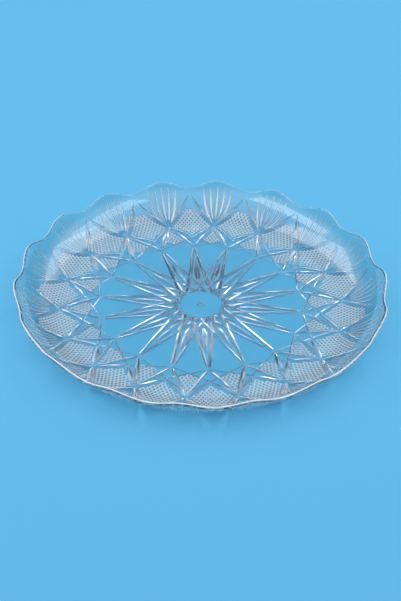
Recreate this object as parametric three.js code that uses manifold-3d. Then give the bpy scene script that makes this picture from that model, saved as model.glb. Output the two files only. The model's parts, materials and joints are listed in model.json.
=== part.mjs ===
// A round serving platter, moulded in one piece from clear plastic to look like cut crystal.
// Its inside is smooth. The mitre cuts of the pattern are on its underside: a star on the flat base,
// and a band of crossing leaves round it that climbs the wall.
// The origin is at the middle of the flat underside, and +Z is up.
import * as THREE from 'three';
import { mergeVertices } from 'three/addons/utils/BufferGeometryUtils.js';
import Module from 'manifold-3d';

// Driving dimensions of the dish, in millimetres and degrees
const LOBES = 18;
const BASE_RADIUS = 130;
const WALL_CURVE = 49;
const THICKNESS = 3;
const LOBE_SLOPE = 68;
const DIP_SLOPE = 59;
const GATE_RADIUS = 3.8;
const GATE_DEPTH = 0.5;

// Driving dimensions of the pattern. Each width is the full width of a cut at its widest.
const CUT_SLOPE = 36;
const HUB_RADIUS = 21.6;
const STAR_RADIUS = 92.5;
const STAR_LINE_WIDTH = 5.2;
const STAR_TIP_WIDTH = 2.6;
const PETAL_INNER = 33.7;
const PETAL_OUTER = 72.6;
const PETAL_WIDTH = 5.6;
const TIP_GAP = 3.3;
const CROSSING_RISE = 3.8;
const CROSSING_GAP = 0.8;
const RIM_MARGIN = 5;
const UPPER_LEAF_WIDTH = 4.6;
const LOWER_LEAF_WIDTH = 5.4;
const INNER_LEAF_WIDTH = 4.4;
const THIN_LINE_WIDTH = 2.2;
const THIN_TIP_WIDTH = 1.2;

// Where along its length each leaf is widest: at the middle for 1, past it above 1, before it below 1
const UPPER_LEAF_LEAN = 1.2;
const LOWER_LEAF_LEAN = 0.85;
const INNER_LEAF_LEAN = 1;
const PETAL_LEAN = 0.8;

// How finely round shapes are drawn, and how far a cut's tool starts outside the surface
const STEPS_PER_LOBE = 6;
const WALL_RINGS = 4;
const RIM_POINTS = 1;
const LINE_STEPS = 1;
const UPPER_LEAF_STEPS = 4;
const LOWER_LEAF_STEPS = 3;
const INNER_LEAF_STEPS = 2;
const PETAL_STEPS = 3;
const TOOL_MARGIN = 0.5;
const POINTED = 0.2;
const SAME_PLACE = 1e-4;
const A_STEP_AHEAD = 1e-3;

const wasm = await Module();
wasm.setup();

const radians = THREE.MathUtils.degToRad;
const sector = (2 * Math.PI) / LOBES;
const lobeArc = radians(LOBE_SLOPE);
const dipArc = radians(DIP_SLOPE);

// The rim's edge follows the wall's own arc, further up at a lobe than at a dip
function rimArc(angle) {
  const wave = (1 + Math.cos(LOBES * angle)) / 2;
  return dipArc + (lobeArc - dipArc) * wave;
}

// A closed mesh becomes a solid once its shared corners are one and its empty triangles are gone
function solidFrom(geometry) {
  geometry.deleteAttribute('normal');
  geometry.deleteAttribute('uv');
  const merged = mergeVertices(geometry, SAME_PLACE);
  const index = merged.index.array;
  const kept = [];
  for (let i = 0; i < index.length; i += 3) {
    const [a, b, c] = [index[i], index[i + 1], index[i + 2]];
    if (a !== b && b !== c && c !== a) kept.push(a, b, c);
  }
  const mesh = new wasm.Mesh({
    numProp: 3,
    vertProperties: new Float32Array(merged.attributes.position.array),
    triVerts: new Uint32Array(kept),
  });
  return new wasm.Manifold(mesh);
}

function geometryFrom(solid) {
  const mesh = solid.getMesh();
  const geometry = new THREE.BufferGeometry();
  geometry.setAttribute('position', new THREE.BufferAttribute(mesh.vertProperties, 3));
  geometry.setIndex(new THREE.BufferAttribute(mesh.triVerts, 1));
  geometry.computeVertexNormals();
  return geometry;
}

// The dish's section: along the underside, round the rim's edge and back along the inside.
// The wall's two faces are arcs about one centre, and the edge between them is a half round.
function dishSection() {
  const arcPoint = (radius, arc) =>
    new THREE.Vector2(BASE_RADIUS + radius * Math.sin(arc), WALL_CURVE - radius * Math.cos(arc));
  const half = THICKNESS / 2;
  const edgeArc = half / WALL_CURVE;
  const points = [new THREE.Vector2(0, 0)];
  for (let i = 0; i <= WALL_RINGS; i++) {
    points.push(arcPoint(WALL_CURVE, ((lobeArc - edgeArc) * i) / WALL_RINGS));
  }
  for (let i = 1; i <= RIM_POINTS; i++) {
    const turn = (Math.PI * i) / (RIM_POINTS + 1);
    const along = lobeArc - edgeArc + edgeArc * Math.sin(turn);
    points.push(arcPoint(WALL_CURVE - half + half * Math.cos(turn), along));
  }
  for (let i = WALL_RINGS; i >= 0; i--) {
    points.push(arcPoint(WALL_CURVE - THICKNESS, ((lobeArc - edgeArc) * i) / WALL_RINGS));
  }
  points.push(new THREE.Vector2(0, THICKNESS));
  return points;
}

// Each wall point slides along its own arc, so that the edge rises and falls with the scallops
function dishSolid() {
  const geometry = new THREE.LatheGeometry(dishSection(), LOBES * STEPS_PER_LOBE);
  geometry.rotateX(Math.PI / 2);
  const place = geometry.attributes.position;
  for (let i = 0; i < place.count; i++) {
    const [x, y, z] = [place.getX(i), place.getY(i), place.getZ(i)];
    const out = Math.hypot(x, y) - BASE_RADIUS;
    if (out > 0) {
      const angle = Math.atan2(y, x);
      const radius = Math.hypot(out, WALL_CURVE - z);
      const arc = (Math.atan2(out, WALL_CURVE - z) * rimArc(angle)) / lobeArc;
      const reach = BASE_RADIUS + radius * Math.sin(arc);
      place.setXYZ(i, reach * Math.cos(angle), reach * Math.sin(angle), WALL_CURVE - radius * Math.cos(arc));
    }
  }
  return solidFrom(geometry);
}

const gateSection = [
  new THREE.Vector2(0, -TOOL_MARGIN),
  new THREE.Vector2(GATE_RADIUS, -TOOL_MARGIN),
  new THREE.Vector2(GATE_RADIUS, 0),
  new THREE.Vector2(0, GATE_DEPTH),
];

function gateTool() {
  const geometry = new THREE.LatheGeometry(gateSection, LOBES);
  geometry.rotateX(Math.PI / 2);
  return solidFrom(geometry);
}

// A plan point at a radius and at an angle counted in sectors from the middle of a lobe
const planPoint = (radius, sectors) =>
  new THREE.Vector2(radius * Math.cos(sectors * sector), radius * Math.sin(sectors * sector));

// The underside's height and outward direction above or below a plan point
function underside(plan) {
  const radius = plan.length();
  const arc = radius > BASE_RADIUS ? Math.asin((radius - BASE_RADIUS) / WALL_CURVE) : 0;
  const outward = Math.sin(arc) / radius;
  return {
    point: new THREE.Vector3(plan.x, plan.y, WALL_CURVE * (1 - Math.cos(arc))),
    normal: new THREE.Vector3(plan.x * outward, plan.y * outward, -Math.cos(arc)),
  };
}

// The tool of one mitre cut: a V that runs straight in plan from one point to another, follows the
// underside on its way, and is as wide at each share of its length as width says
function mitreTool(from, to, width, steps) {
  const slope = Math.tan(radians(CUT_SLOPE));
  const corners = [];
  for (let i = 0; i <= steps; i++) {
    const share = i / steps;
    const { point, normal } = underside(from.clone().lerp(to, share));
    const ahead = underside(from.clone().lerp(to, share + A_STEP_AHEAD)).point;
    const across = ahead.sub(point).cross(normal).normalize();
    const half = Math.max(width(share), POINTED) / 2;
    const reach = half + TOOL_MARGIN / slope;
    const outer = point.clone().addScaledVector(normal, TOOL_MARGIN);
    corners.push(
      outer.clone().addScaledVector(across, reach),
      outer.clone().addScaledVector(across, -reach),
      point.clone().addScaledVector(normal, -half * slope),
    );
  }
  const index = [0, 1, 2];
  for (let i = 0; i < steps; i++) {
    for (let side = 0; side < 3; side++) {
      const [a, b] = [3 * i + side, 3 * i + ((side + 1) % 3)];
      index.push(a, a + 3, b, b, a + 3, b + 3);
    }
  }
  const last = 3 * steps;
  index.push(last, last + 2, last + 1);
  const geometry = new THREE.BufferGeometry().setFromPoints(corners);
  geometry.setIndex(index);
  return solidFrom(geometry);
}

// A leaf is pointed at both ends and swells to its full width where lean puts it
const leaf = (full, lean) => (share) => full * Math.sin(Math.PI * share ** lean);
const taper = (start, end) => (share) => start + (end - start) * share;

// Where two straight lines in plan cross
function meet(a, b, c, d) {
  const [u, v] = [b.clone().sub(a), d.clone().sub(c)];
  return a.clone().addScaledVector(u, c.clone().sub(a).cross(v) / u.cross(v));
}

// The cuts of one half sector. side is 1 or -1, for the two hands of the pattern.
function halfSectorTools(lobe, side) {
  const at = (radius, sectors) => planPoint(radius, lobe + side * sectors);
  const centre = new THREE.Vector2(0, 0);
  const crossing = at(BASE_RADIUS + CROSSING_RISE, 0);
  const dipRadius = BASE_RADIUS + WALL_CURVE * Math.sin(dipArc - RIM_MARGIN / WALL_CURVE);
  const tipRadius = STAR_RADIUS + TIP_GAP;
  const dip = at(dipRadius, -0.5);
  const tip = at(tipRadius, 0.5);
  const nextTip = at(tipRadius, 1.5);
  const lower = meet(crossing, nextTip, centre, tip);
  const clearOf = (end) => crossing.clone().lerp(end, CROSSING_GAP / crossing.distanceTo(end));
  return [
    mitreTool(at(HUB_RADIUS, -1), at(STAR_RADIUS, 0.5), taper(STAR_LINE_WIDTH, STAR_TIP_WIDTH), LINE_STEPS),
    mitreTool(dip, clearOf(dip), leaf(UPPER_LEAF_WIDTH, UPPER_LEAF_LEAN), UPPER_LEAF_STEPS),
    mitreTool(clearOf(lower), lower, leaf(LOWER_LEAF_WIDTH, LOWER_LEAF_LEAN), LOWER_LEAF_STEPS),
    mitreTool(lower, nextTip, taper(THIN_LINE_WIDTH, THIN_TIP_WIDTH), LINE_STEPS),
    mitreTool(clearOf(tip), tip, leaf(INNER_LEAF_WIDTH, INNER_LEAF_LEAN), INNER_LEAF_STEPS),
  ];
}

// The leaf on the axis of a star point
function petalTool(lobe) {
  const inner = planPoint(PETAL_INNER, lobe + 0.5);
  const outer = planPoint(PETAL_OUTER, lobe + 0.5);
  return mitreTool(inner, outer, leaf(PETAL_WIDTH, PETAL_LEAN), PETAL_STEPS);
}

function platterSolid() {
  const tools = [gateTool()];
  for (let lobe = 0; lobe < LOBES; lobe++) {
    tools.push(...halfSectorTools(lobe, 1), ...halfSectorTools(lobe, -1));
    tools.push(petalTool(lobe));
  }
  return tools.reduce((solid, tool) => solid.subtract(tool), dishSolid());
}

const clearPlastic = new THREE.MeshStandardMaterial({
  color: 0xeef1f7,
  roughness: 0.06,
  metalness: 0,
  transparent: true,
  opacity: 0.4,
});

const platter = new THREE.Mesh(geometryFrom(platterSolid()), clearPlastic);
platter.name = 'platter';

const servingPlatter = new THREE.Group();
servingPlatter.add(platter);

export default servingPlatter;
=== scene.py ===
# A round serving platter of clear moulded plastic with a cut-crystal pattern, on a plain pale floor.
# The file goes from the camera to the platter, then to the floor and the lights it is seen in.
import json
import math

import bpy
import numpy as np
from mathutils import Euler, Matrix, Vector

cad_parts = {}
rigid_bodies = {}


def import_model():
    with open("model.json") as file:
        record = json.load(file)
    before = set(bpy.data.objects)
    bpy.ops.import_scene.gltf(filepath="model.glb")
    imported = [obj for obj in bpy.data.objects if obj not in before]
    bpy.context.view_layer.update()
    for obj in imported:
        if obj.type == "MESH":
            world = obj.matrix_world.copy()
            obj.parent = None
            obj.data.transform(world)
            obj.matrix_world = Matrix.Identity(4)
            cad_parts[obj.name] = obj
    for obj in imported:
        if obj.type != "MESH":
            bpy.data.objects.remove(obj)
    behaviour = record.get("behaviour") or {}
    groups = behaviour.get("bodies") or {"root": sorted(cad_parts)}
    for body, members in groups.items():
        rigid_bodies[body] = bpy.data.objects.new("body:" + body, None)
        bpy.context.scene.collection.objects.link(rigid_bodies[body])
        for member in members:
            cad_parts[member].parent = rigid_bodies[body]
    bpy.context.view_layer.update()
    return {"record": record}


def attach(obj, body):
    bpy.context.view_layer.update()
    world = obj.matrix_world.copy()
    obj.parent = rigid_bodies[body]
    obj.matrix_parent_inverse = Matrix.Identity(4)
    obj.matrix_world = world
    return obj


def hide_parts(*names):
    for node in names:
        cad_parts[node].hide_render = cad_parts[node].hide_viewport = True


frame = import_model()

# Camera
# It stands in front of the platter and looks down into it, at the angle worked out from the
# circles of the pattern. The platter's centre lies a little below the middle of the picture.
CAMERA_DISTANCE = 1.233
CAMERA_AZIMUTH = math.radians(-4.97)
CAMERA_ELEVATION = math.radians(37.52)
CAMERA_ROLL = math.radians(1.34)
SENSOR_WIDTH_MM = 36.0
FOCAL_LENGTH_PX = 1301.7
PICTURE_WIDTH_PX = 401
PICTURE_HEIGHT_PX = 601
CENTRE_ACROSS_PX = 200.9
CENTRE_DOWN_PX = 305.9

camera_data = bpy.data.cameras.new("camera")
camera_data.sensor_width = SENSOR_WIDTH_MM
camera_data.lens = SENSOR_WIDTH_MM * FOCAL_LENGTH_PX / PICTURE_HEIGHT_PX
camera = bpy.data.objects.new("camera", camera_data)
bpy.context.scene.collection.objects.link(camera)
towards_camera = Vector((
    math.sin(CAMERA_AZIMUTH) * math.cos(CAMERA_ELEVATION),
    -math.cos(CAMERA_AZIMUTH) * math.cos(CAMERA_ELEVATION),
    math.sin(CAMERA_ELEVATION),
))
aim = (-towards_camera).to_track_quat("-Z", "Y")
aim_right = math.atan((PICTURE_WIDTH_PX / 2 - CENTRE_ACROSS_PX) / FOCAL_LENGTH_PX)
aim_up = math.atan((CENTRE_DOWN_PX - PICTURE_HEIGHT_PX / 2) / FOCAL_LENGTH_PX)
turn = Matrix.Rotation(CAMERA_ROLL, 3, "Z") @ Euler((aim_up, -aim_right, 0)).to_matrix()
camera.location = towards_camera * CAMERA_DISTANCE
camera.rotation_euler = (aim.to_matrix() @ turn).to_euler()
bpy.context.scene.camera = camera

# Platter
# One injection moulding of clear polystyrene. Its inside is smooth, and the cuts that imitate
# crystal are in the mould's lower half, so they are all on the underside of the base and wall.
# One half sector is cut flat, copied round, and only then bent up into the dish.
MM = 0.001
NEAR = 1e-6
LOBES = 18
BASE_RADIUS = 130 * MM
WALL_CURVE = 49 * MM
LOBE_ARC = math.radians(68)
DIP_ARC = math.radians(59)
GATE_RADIUS = 3.8 * MM
HUB_LINE_RADIUS = 19.9 * MM
HUB_LINE_HALF_WIDTH = 0.4 * MM
HUB_LINE_DEPTH = 0.25 * MM
WALL_RINGS = 22
EDGE_STEPS = 8
SECTOR_STEPS = 8
mounts = {mount["name"]: mount for mount in frame["record"]["mounts"]}
thickness = mounts["well_floor"]["pos_m"][2]
half_sector = math.pi / LOBES
edge_arc = thickness / 2 / WALL_CURVE
wall_end = LOBE_ARC - edge_arc


# The rim follows the wall's own arc, further up at a lobe than at a dip
def rim_arc(angle):
    wave = (1 + math.cos(LOBES * angle)) / 2
    return DIP_ARC + (LOBE_ARC - DIP_ARC) * wave


def plan_radius(arc):
    return BASE_RADIUS + WALL_CURVE * math.sin(arc)


# The flat slab of one half sector: an outline that goes from the gate past the fine line round the
# hub to the rounded rim, and back along the smooth inside, spun about the axis
wall_radii = [plan_radius(wall_end * ring / WALL_RINGS) for ring in range(WALL_RINGS + 1)]
outline = [(GATE_RADIUS, 0.0)]
outline.append((HUB_LINE_RADIUS - HUB_LINE_HALF_WIDTH, 0.0))
outline.append((HUB_LINE_RADIUS, HUB_LINE_DEPTH))
outline.append((HUB_LINE_RADIUS + HUB_LINE_HALF_WIDTH, 0.0))
outline += [(radius, 0.0) for radius in wall_radii]
for step in range(1, EDGE_STEPS):
    roundness = math.pi * step / EDGE_STEPS
    edge_radius = plan_radius(wall_end + edge_arc * math.sin(roundness))
    outline.append((edge_radius, thickness * (1 - math.cos(roundness)) / 2))
outline += [(radius, thickness) for radius in reversed(wall_radii)]
outline.append((GATE_RADIUS, thickness))

bpy.ops.object.select_all(action="DESELECT")
bpy.ops.mesh.primitive_circle_add(vertices=len(outline), fill_type="NOTHING")
platter = bpy.context.object
platter.name = "clear_platter"
for vertex, (radius, depth) in zip(platter.data.vertices, outline):
    vertex.co = (radius, 0, depth)
bpy.ops.object.mode_set(mode="EDIT")
bpy.ops.mesh.select_all(action="SELECT")
bpy.ops.mesh.spin(steps=SECTOR_STEPS, angle=-half_sector, center=(0, 0, 0), axis=(0, 0, 1))
bpy.ops.mesh.select_all(action="SELECT")
bpy.ops.mesh.fill_holes(sides=0)
bpy.ops.mesh.normals_make_consistent(inside=False)
bpy.ops.object.mode_set(mode="OBJECT")

# The rings of the wall are drawn in towards the dip, which gives the rim its scallop
for vertex in platter.data.vertices:
    radius = math.hypot(vertex.co.x, vertex.co.y)
    angle = math.atan2(vertex.co.y, vertex.co.x)
    if radius > BASE_RADIUS:
        arc = math.asin((radius - BASE_RADIUS) / WALL_CURVE)
        scalloped = plan_radius(arc * rim_arc(angle) / LOBE_ARC)
        vertex.co.x *= scalloped / radius
        vertex.co.y *= scalloped / radius

# Clear polystyrene from a polished mould is glassy, with a faint haze where it was handled and slow
# waves where it flowed. The fine cuts are satin, so that they read as white lines, and the wide cuts
# have a trace of milkiness. Each finish: name, colour, roughness, clearness, round of its edges.
CLEAR, FINE_CUT, WIDE_CUT = range(3)
FINISHES = (
    ("clear_polystyrene", "#F1F6F5", 0.04, 1.0, 0.25 * MM),
    ("clear_polystyrene_fine_cut", "#EFF9FF", 0.3, 0.1, 0.25 * MM),
    ("clear_polystyrene_wide_cut", "#F9F8FF", 0.04, 0.88, 0.35 * MM),
)
POLYSTYRENE_IOR = 1.59
HANDLING_SIZE = 24 * MM
HANDLING_ROUGHNESS = 0.05
FLOW_SIZE = 16 * MM
FLOW_RELIEF = 0.05 * MM


def linear(hex_colour):
    channels = [int(hex_colour[i:i + 2], 16) / 255 for i in (1, 3, 5)]
    return [c / 12.92 if c <= 0.04045 else ((c + 0.055) / 1.055) ** 2.4 for c in channels] + [1]


# Settings go to the node's input of that name or else to its property, and links to its inputs
def add_node(tree, kind, settings, links):
    node = tree.nodes.new(kind)
    for name, value in settings.items():
        if name in node.inputs:
            node.inputs[name].default_value = value
        else:
            setattr(node, name, value)
    for socket, source in links.items():
        tree.links.new(source, node.inputs[socket])
    return node


for name, colour, roughness, clearness, edge_round in FINISHES:
    plastic = bpy.data.materials.new(name)
    plastic.use_nodes = True
    tree = plastic.node_tree
    shader = tree.nodes["Principled BSDF"]
    shader.inputs["Base Color"].default_value = linear(colour)
    shader.inputs["Transmission Weight"].default_value = clearness
    shader.inputs["IOR"].default_value = POLYSTYRENE_IOR
    coordinates = add_node(tree, "ShaderNodeTexCoord", {}, {})
    handling = add_node(
        tree, "ShaderNodeTexNoise",
        {"Scale": 1 / HANDLING_SIZE, "Detail": 4.0},
        {"Vector": coordinates.outputs["Object"]},
    )
    haze = add_node(
        tree, "ShaderNodeMapRange",
        {
            "From Min": 0.35, "From Max": 0.75,
            "To Min": roughness, "To Max": roughness + HANDLING_ROUGHNESS,
        },
        {"Value": handling.outputs["Fac"]},
    )
    flow = add_node(
        tree, "ShaderNodeTexNoise",
        {"Scale": 1 / FLOW_SIZE, "Detail": 1.0},
        {"Vector": coordinates.outputs["Object"]},
    )
    bevel = add_node(tree, "ShaderNodeBevel", {"samples": 4, "Radius": edge_round}, {})
    waves = add_node(
        tree, "ShaderNodeBump",
        {"Strength": 1.0, "Distance": FLOW_RELIEF},
        {"Height": flow.outputs["Fac"], "Normal": bevel.outputs["Normal"]},
    )
    tree.links.new(haze.outputs["Result"], shader.inputs["Roughness"])
    tree.links.new(waves.outputs["Normal"], shader.inputs["Normal"])
    platter.data.materials.append(plastic)

# The mitre cuts. A cut's slope is its depth for each unit of half its width. From here to the
# lattices, a length without MM is in millimetres, and a place round the dish is in degrees from
# the axis of a lobe.
BASE_CUT = math.tan(math.radians(36))
UPPER_LEAF_CUT = math.tan(math.radians(47))
LATTICE_CUT = math.tan(math.radians(40))
RAY_CUT = math.tan(math.radians(45))
TOOL_MARGIN = 0.4 * MM
TOOL_EDGES = 5
SIDE_EDGES = (0, 3)
FLOOR_EDGES = (1, 2)
EDGE_HANDS = (1, 1, -1, -1, 0)
DIP = 180 / LOBES
LEAF_STEPS = 12
LEAF_SHARES = [step / LEAF_STEPS for step in range(LEAF_STEPS + 1)]
BAR_SHARES = [0, 0.01, 0.99, 1]
tools = bpy.data.collections.new("mitre_tools")
bpy.context.scene.collection.children.link(tools)


def at(radius, degrees):
    angle = math.radians(degrees)
    return Vector((radius * MM * math.cos(angle), radius * MM * math.sin(angle)))


# A leaf is pointed at both ends, and lean moves its widest place from the middle towards its end
# above 1 and towards its start below 1. A blunt below 1 fills out its ends.
def leaf(full, lean=1, blunt=1):
    return lambda share: full * max(0, math.sin(math.pi * share**lean)) ** blunt


def taper(first, last):
    return lambda share: first + (last - first) * share


# A tool is a spindle of five long edges: two at its sides, just outside the slab, two at the narrow
# floor of the V, and one that closes it behind. bow swings its middle out, skew leans the V over, and
# aside sets it beside its line. The side of it that faces that line is then left clear.
def mitre(start, end, width, shares, slope=BASE_CUT, bow=0, skew=0, flat=0.06, aside=0, finish=WIDE_CUT):
    bpy.ops.object.select_all(action="DESELECT")
    rings = len(shares) - 1
    bpy.ops.mesh.primitive_uv_sphere_add(segments=TOOL_EDGES, ring_count=rings, radius=1)
    tool = bpy.context.object
    along = end - start
    across = Vector((-along.y, along.x)).normalized()
    facing_line = set()
    for vertex in tool.data.vertices:
        x, y, z = vertex.co
        ring = round(math.acos(max(-1, min(1, z))) / math.pi * rings)
        edge = round(math.atan2(y, x) / math.tau * TOOL_EDGES) % TOOL_EDGES
        hand = EDGE_HANDS[edge]
        share = shares[ring]
        half = width(share) / 2 * MM
        depth = half * (1 - abs(skew) - flat) * slope
        at_tip = ring in (0, rings)
        if hand * aside < 0 and not at_tip:
            facing_line.add(vertex.index)
        if at_tip:
            side, height = 0, -TOOL_MARGIN
        elif edge in SIDE_EDGES:
            spread = half * (1 - hand * skew - flat)
            side = hand * (half + TOOL_MARGIN * spread / max(depth, NEAR))
            height = -TOOL_MARGIN
        elif edge in FLOOR_EDGES:
            side, height = half * (skew + hand * flat), depth
        else:
            side, height = half * skew, -3 * TOOL_MARGIN
        side += aside * MM * (1 - (1 - share) ** 3) + bow * MM * 4 * share * (1 - share)
        place = start + along * share + across * side
        vertex.co = (place.x, place.y, height)
    bpy.ops.object.mode_set(mode="EDIT")
    bpy.ops.mesh.select_all(action="SELECT")
    bpy.ops.mesh.normals_make_consistent(inside=False)
    bpy.ops.object.mode_set(mode="OBJECT")
    for polygon in tool.data.polygons:
        stays_clear = sum(index in facing_line for index in polygon.vertices) >= 2
        polygon.material_index = CLEAR if stays_clear else finish
    for holder in list(tool.users_collection):
        holder.objects.unlink(tool)
    tools.objects.link(tool)


# The star: a point on the axis of each dip, of two lines that swing round to the hub one and a half
# sectors on, and a leaf between them
STAR_RADIUS = 92.5
HUB_RADIUS = 21.6
STAR_SWING = 3 * DIP
TIP_PARTING = 0.5
STAR_TIP_WIDTH = 2.6
STAR_HUB_WIDTH = 5.2
PETAL_INNER = 33.7
PETAL_OUTER = 72.6
PETAL_WIDTH = 5.6
star_line = taper(STAR_TIP_WIDTH, STAR_HUB_WIDTH)
for tip, swing in ((DIP, -STAR_SWING), (3 * DIP, -STAR_SWING), (-DIP, STAR_SWING)):
    beside_tip = tip + math.copysign(TIP_PARTING, swing)
    mitre(at(STAR_RADIUS, beside_tip), at(HUB_RADIUS, tip + swing), star_line, BAR_SHARES)
mitre(at(PETAL_INNER, DIP), at(PETAL_OUTER, DIP), leaf(PETAL_WIDTH, lean=0.8), LEAF_SHARES)

# The band of leaves that meet on each lobe's axis at the foot of the wall: the upper one climbs to the
# dip, the lower one runs in over the base and on as a thin line, and the inner one ends by the star
CROSSING_RADIUS = 133.8
UPPER_LEAF_TOP = 169
LOWER_LEAF_END = 112.4
INNER_LEAF_END = 95.8
UPPER_LEAF_WIDTH = 6.4
LOWER_LEAF_WIDTH = 5.4
INNER_LEAF_WIDTH = 4.6
THIN_LINE_WIDTH = 2.2
THIN_TIP_WIDTH = 1.2
LEAF_BLUNTNESS = 0.6
crossing = at(CROSSING_RADIUS, 0)
upper_leaf = leaf(UPPER_LEAF_WIDTH, lean=1.5, blunt=LEAF_BLUNTNESS)
lower_leaf = leaf(LOWER_LEAF_WIDTH, lean=0.8, blunt=LEAF_BLUNTNESS)
inner_leaf = leaf(INNER_LEAF_WIDTH, blunt=LEAF_BLUNTNESS)
thin_line = taper(THIN_LINE_WIDTH, THIN_TIP_WIDTH)
mitre(at(UPPER_LEAF_TOP, DIP), crossing, upper_leaf, LEAF_SHARES, UPPER_LEAF_CUT, skew=0.3)
mitre(crossing, at(LOWER_LEAF_END, DIP), lower_leaf, LEAF_SHARES)
for axis in (DIP, -DIP):
    mitre(at(LOWER_LEAF_END, axis), at(INNER_LEAF_END, -axis), thin_line, BAR_SHARES)
mitre(crossing, at(INNER_LEAF_END, DIP), inner_leaf, LEAF_SHARES)

# The fan in each lobe: a ray is a clear ridge between two touching grooves with satin outer sides.
# It starts a little above the crossing, stops a short arc below the rim, and bows the more the
# further it lies from the lobe's axis.
RAYS = (0, 2.5, 4.9)
RAY_START = 8
ARC_BELOW_RIM = 0.035
BOW_PER_DEGREE = 0.42
GROOVE_WIDTH = 1.5
groove = leaf(GROOVE_WIDTH, blunt=0.5)
for ray in RAYS:
    ray_end = at(plan_radius(rim_arc(math.radians(ray)) - ARC_BELOW_RIM) / MM, ray)
    ray_start = crossing + (ray_end - crossing).normalized() * RAY_START * MM
    for aside in (-GROOVE_WIDTH / 2, GROOVE_WIDTH / 2):
        mitre(
            ray_start, ray_end, groove, LEAF_SHARES, RAY_CUT,
            bow=BOW_PER_DEGREE * ray, flat=0.04, aside=aside, finish=FINE_CUT,
        )

# The lattices of fine lines that cross: a large one on the axis of each dip, over the foot of the
# wall, and a small one on the base inside each crossing of the leaves. Each corner of a lattice is a
# distance outwards along its axis and one sideways from it.
LATTICE_PITCH = 3.25
LATTICE_LINE_WIDTH = 1.4
LATTICE_LINES = 12
SHORTEST_LINE = 1.2
LARGE_LATTICE = ((155, 6.5), (155, -6.5), (132, -19.5), (117.5, 0), (132, 19.5))
LARGE_LATTICE_LEAN = math.radians(33)
SMALL_LATTICE = ((128, 0), (107, 8.6), (101.5, 0), (107, -8.6))
SMALL_LATTICE_LEAN = math.radians(30)
lattice_line = taper(LATTICE_LINE_WIDTH, LATTICE_LINE_WIDTH)


# How far along a line from a point the line enters and leaves a convex outline
def span_inside(point, along, corners):
    low, high = -math.inf, math.inf
    middle = sum(corners, Vector((0, 0))) / len(corners)
    for first, second in zip(corners, corners[1:] + corners[:1]):
        normal = Vector((first.y - second.y, second.x - first.x))
        if normal.dot(middle - first) < 0:
            normal = -normal
        rate = normal.dot(along)
        limit = -normal.dot(point - first) / rate
        if rate > 0:
            low = max(low, limit)
        else:
            high = min(high, limit)
    return low, high


def lattice(axis, corners, lean):
    outward = at(1 / MM, axis)
    sideways = Vector((-outward.y, outward.x))
    corners = [outward * (u * MM) + sideways * (v * MM) for u, v in corners]
    anchor = outward * (sum(corners, Vector((0, 0))) / len(corners)).dot(outward)
    for hand in (1, -1):
        along = outward * math.cos(lean) + sideways * math.sin(lean) * hand
        step = Vector((-along.y, along.x)) * LATTICE_PITCH * MM
        for line in range(-LATTICE_LINES, LATTICE_LINES):
            point = anchor + step * (line + 0.5)
            low, high = span_inside(point, along, corners)
            if high - low > SHORTEST_LINE * MM:
                ends = point + along * low, point + along * high
                mitre(*ends, lattice_line, BAR_SHARES, LATTICE_CUT, finish=FINE_CUT)


lattice(DIP, LARGE_LATTICE, LARGE_LATTICE_LEAN)
lattice(0, SMALL_LATTICE, SMALL_LATTICE_LEAN)

# All the tools cut the slab in one go, and are then removed
bpy.ops.object.select_all(action="DESELECT")
bpy.context.view_layer.objects.active = platter
platter.select_set(True)
cut = platter.modifiers.new("cut", "BOOLEAN")
cut.operation = "DIFFERENCE"
cut.solver = "EXACT"
cut.operand_type = "COLLECTION"
cut.collection = tools
bpy.ops.object.modifier_apply(modifier=cut.name)
for tool in list(tools.objects):
    bpy.data.objects.remove(tool)
bpy.data.collections.remove(tools)

# The parting line of the mould is a satin band round the middle of the rim's edge. The faces at the
# two sides and at the gate, where the neighbours and the hub's middle join on, are deleted.
PARTING_LINE_SHARE = 0.2
far_side = Vector((-math.sin(half_sector), math.cos(half_sector), 0))
for polygon in platter.data.polygons:
    corners = [platter.data.vertices[index].co for index in polygon.vertices]
    on_near_side = all(abs(corner.y) < NEAR for corner in corners)
    on_far_side = all(abs(corner.dot(far_side)) < NEAR for corner in corners)
    on_gate = all(math.hypot(corner.x, corner.y) < GATE_RADIUS + NEAR for corner in corners)
    polygon.select = on_near_side or on_far_side or on_gate
    middle = polygon.center
    edge_start = plan_radius(wall_end * rim_arc(math.atan2(middle.y, middle.x)) / LOBE_ARC)
    on_edge = math.hypot(middle.x, middle.y) > edge_start
    if on_edge and abs(middle.z / thickness - 0.5) < PARTING_LINE_SHARE:
        polygon.material_index = FINE_CUT
for edge in platter.data.edges:
    edge.select = False
for vertex in platter.data.vertices:
    vertex.select = False
bpy.ops.object.mode_set(mode="EDIT")
bpy.ops.mesh.select_mode(type="FACE")
bpy.ops.mesh.delete(type="FACE")
bpy.ops.mesh.select_all(action="SELECT")
bpy.ops.mesh.quads_convert_to_tris(quad_method="BEAUTY", ngon_method="BEAUTY")
bpy.ops.object.mode_set(mode="OBJECT")

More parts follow.
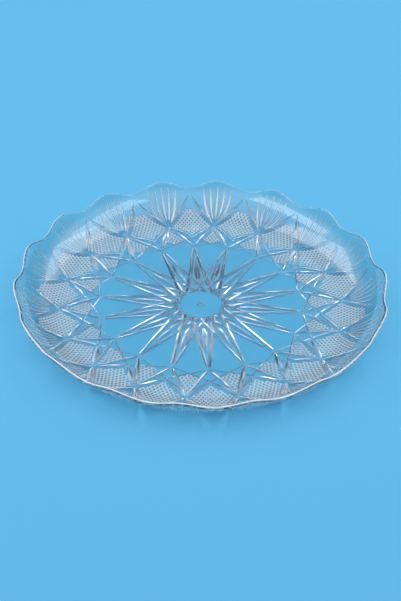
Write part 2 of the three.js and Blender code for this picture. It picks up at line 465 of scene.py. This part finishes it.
# The half sector is mirrored into a sector and copied round the axis, and the seams are closed.
# Scraps of face that the cuts left with an open edge are deleted.
mirror = platter.modifiers.new("mirror", "MIRROR")
mirror.use_axis = (False, True, False)
mirror.use_mirror_merge = True
mirror.merge_threshold = NEAR
bpy.ops.object.modifier_apply(modifier=mirror.name)
bpy.ops.object.mode_set(mode="EDIT")
bpy.ops.mesh.select_all(action="SELECT")
bpy.ops.mesh.spin(
    steps=LOBES - 1, dupli=True, angle=2 * half_sector * (LOBES - 1), center=(0, 0, 0), axis=(0, 0, 1)
)
bpy.ops.mesh.select_all(action="SELECT")
bpy.ops.mesh.remove_doubles(threshold=5 * NEAR)
bpy.ops.mesh.select_all(action="SELECT")
bpy.ops.mesh.fill_holes(sides=0)
bpy.ops.mesh.select_mode(type="EDGE")
bpy.ops.mesh.select_all(action="DESELECT")
bpy.ops.mesh.select_non_manifold(
    extend=False, use_wire=True, use_boundary=True, use_multi_face=False,
    use_non_contiguous=False, use_verts=False,
)
bpy.ops.mesh.delete(type="EDGE")
bpy.ops.mesh.select_mode(type="FACE")
bpy.ops.mesh.select_all(action="SELECT")
bpy.ops.mesh.normals_make_consistent(inside=False)
bpy.ops.object.mode_set(mode="OBJECT")

# The gate mark: a shallow dimple under the hub with a nub left in it where the plastic ran in.
# Each step of it goes in from the one before and then up into the plastic or back down.
GATE_STEPS = ((0.9 * MM, 0.75 * MM), (1.5 * MM, 0.15 * MM), (0.6 * MM, -0.6 * MM))
NUB_RADIUS = 1.45 * MM


# Whether a face of the underside lies within a radius of the axis
def within(radius, polygon):
    middle = polygon.center
    return math.hypot(middle.x, middle.y) < radius and middle.z < thickness / 2


for polygon in platter.data.polygons:
    polygon.select = within(GATE_RADIUS, polygon)
bpy.ops.object.mode_set(mode="EDIT")
for inwards, rise in GATE_STEPS:
    bpy.ops.mesh.inset(thickness=inwards, depth=-rise)
bpy.ops.object.mode_set(mode="OBJECT")
for polygon in platter.data.polygons:
    if within(GATE_RADIUS, polygon):
        polygon.material_index = FINE_CUT if within(NUB_RADIUS, polygon) else WIDE_CUT

# The flat disc is bent up into the dish, with every depth measured square to the wall
SMOOTH_UP_TO = math.radians(14)
places = np.empty(len(platter.data.vertices) * 3)
platter.data.vertices.foreach_get("co", places)
places = places.reshape(-1, 3)
radii = np.hypot(places[:, 0], places[:, 1])
arcs = np.arcsin(np.clip((radii - BASE_RADIUS) / WALL_CURVE, 0, 1))
on_wall = radii > BASE_RADIUS
new_radii = np.where(on_wall, BASE_RADIUS + (WALL_CURVE - places[:, 2]) * np.sin(arcs), radii)
heights = np.where(on_wall, WALL_CURVE - (WALL_CURVE - places[:, 2]) * np.cos(arcs), places[:, 2])
places[:, :2] *= (new_radii / np.maximum(radii, NEAR))[:, None]
places[:, 2] = heights
platter.data.vertices.foreach_set("co", places.ravel())
platter.data.update()
bpy.ops.object.shade_smooth_by_angle(angle=SMOOTH_UP_TO)
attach(platter, "root")
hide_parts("platter")

# Floor
# A plain sheet of pale blue paper, matt, and far larger than the picture. It lies just below the
# platter's underside, so that the two faces never meet.
FLOOR_SIZE = 12
FLOOR_GAP = 0.3 * MM
FLOOR_BLUE = "#66BBE3"
bpy.ops.object.select_all(action="DESELECT")
bpy.ops.mesh.primitive_plane_add(size=FLOOR_SIZE, location=(0, 0, -FLOOR_GAP))
floor = bpy.context.object
floor.name = "floor"
paper = bpy.data.materials.new("pale_paper")
paper.use_nodes = True
shader = paper.node_tree.nodes["Principled BSDF"]
shader.inputs["Base Color"].default_value = linear(FLOOR_BLUE)
shader.inputs["Roughness"].default_value = 0.9
shader.inputs["Specular IOR Level"].default_value = 0.0
floor.data.materials.append(paper)

# Lights
# Four soft boxes and a sky, at a level where colours render about as they are written. The sky is
# white above, blue in the middle behind, and dark low down and in front, so that the cuts get light
# and dark faces. The camera itself sees only the colour that the floor has far away.
SKY_WHITE = "#F4F3FA"
SKY_BLUE = "#74B9DE"
SKY_DARK = "#1E1B1C"
FAR_FLOOR_BLUE = "#5099C2"
# Each zone of the sky fades in between two values of the x, y or z of a direction
FADE = {"interpolation_type": "SMOOTHSTEP"}
BEHIND = {"From Min": 0.1, "From Max": 0.5}
IN_THE_MIDDLE = {"From Min": 0.45, "From Max": 0.2}
IN_FRONT = {"From Min": -0.68, "From Max": -0.92}
LOW_DOWN = {"From Min": 0.6, "From Max": 0.35}
COLOURS = {"data_type": "RGBA"}
sky = bpy.data.worlds.new("sky")
bpy.context.scene.world = sky
sky.use_nodes = True
tree = sky.node_tree
direction = add_node(tree, "ShaderNodeTexCoord", {}, {})
axes = add_node(tree, "ShaderNodeSeparateXYZ", {}, {"Vector": direction.outputs["Generated"]})
aside_by = add_node(tree, "ShaderNodeMath", {"operation": "ABSOLUTE"}, {0: axes.outputs["X"]})
behind = add_node(tree, "ShaderNodeMapRange", FADE | BEHIND, {"Value": axes.outputs["Y"]})
central = add_node(
    tree, "ShaderNodeMapRange", FADE | IN_THE_MIDDLE, {"Value": aside_by.outputs["Value"]}
)
backdrop = add_node(
    tree, "ShaderNodeMath", {"operation": "MULTIPLY"},
    {0: behind.outputs["Result"], 1: central.outputs["Result"]},
)
in_front = add_node(tree, "ShaderNodeMapRange", FADE | IN_FRONT, {"Value": axes.outputs["Y"]})
low_down = add_node(tree, "ShaderNodeMapRange", FADE | LOW_DOWN, {"Value": axes.outputs["Z"]})
dim = add_node(
    tree, "ShaderNodeMath", {"operation": "MAXIMUM"},
    {0: in_front.outputs["Result"], 1: low_down.outputs["Result"]},
)
sweep = add_node(
    tree, "ShaderNodeMix", COLOURS | {"A": linear(SKY_WHITE), "B": linear(SKY_BLUE)},
    {"Factor": backdrop.outputs["Value"]},
)
room = add_node(
    tree, "ShaderNodeMix", COLOURS | {"B": linear(SKY_DARK)},
    {"Factor": dim.outputs["Value"], "A": sweep.outputs["Result"]},
)
light_path = add_node(tree, "ShaderNodeLightPath", {}, {})
surroundings = add_node(
    tree, "ShaderNodeMix", COLOURS | {"B": linear(FAR_FLOOR_BLUE)},
    {"Factor": light_path.outputs["Is Camera Ray"], "A": room.outputs["Result"]},
)
tree.links.new(surroundings.outputs["Result"], tree.nodes["Background"].inputs["Color"])
tree.nodes["Background"].inputs["Strength"].default_value = 1.0

# Each soft box: name, place, width, height and power. They all face the middle of the platter.
SOFT_BOXES = (
    ("key_soft_box", (-1.15, -0.3, 1.3), 1.5, 0.45, 4),
    ("fill_soft_box", (1.0, -0.15, 1.3), 1.5, 0.45, 3.2),
    ("back_left_soft_box", (-0.8, 0.9, 1.5), 1.0, 1.0, 6),
    ("back_right_soft_box", (0.9, 0.8, 1.4), 1.0, 1.0, 5),
)
for name, place, width, height, power in SOFT_BOXES:
    panel = bpy.data.lights.new(name, "AREA")
    panel.shape = "RECTANGLE"
    panel.size = width
    panel.size_y = height
    panel.energy = power
    lamp = bpy.data.objects.new(name, panel)
    lamp.location = place
    lamp.rotation_euler = (-Vector(place)).to_track_quat("-Z", "Y").to_euler()
    bpy.context.scene.collection.objects.link(lamp)

# Light meets many facets in the clear plastic, so it may bounce often, and no reflection is blurred
cycles = bpy.context.scene.cycles
cycles.blur_glossy = 0
cycles.max_bounces = 14
cycles.glossy_bounces = 6
cycles.transmission_bounces = 12
bpy.context.scene.view_settings.view_transform = "Standard"
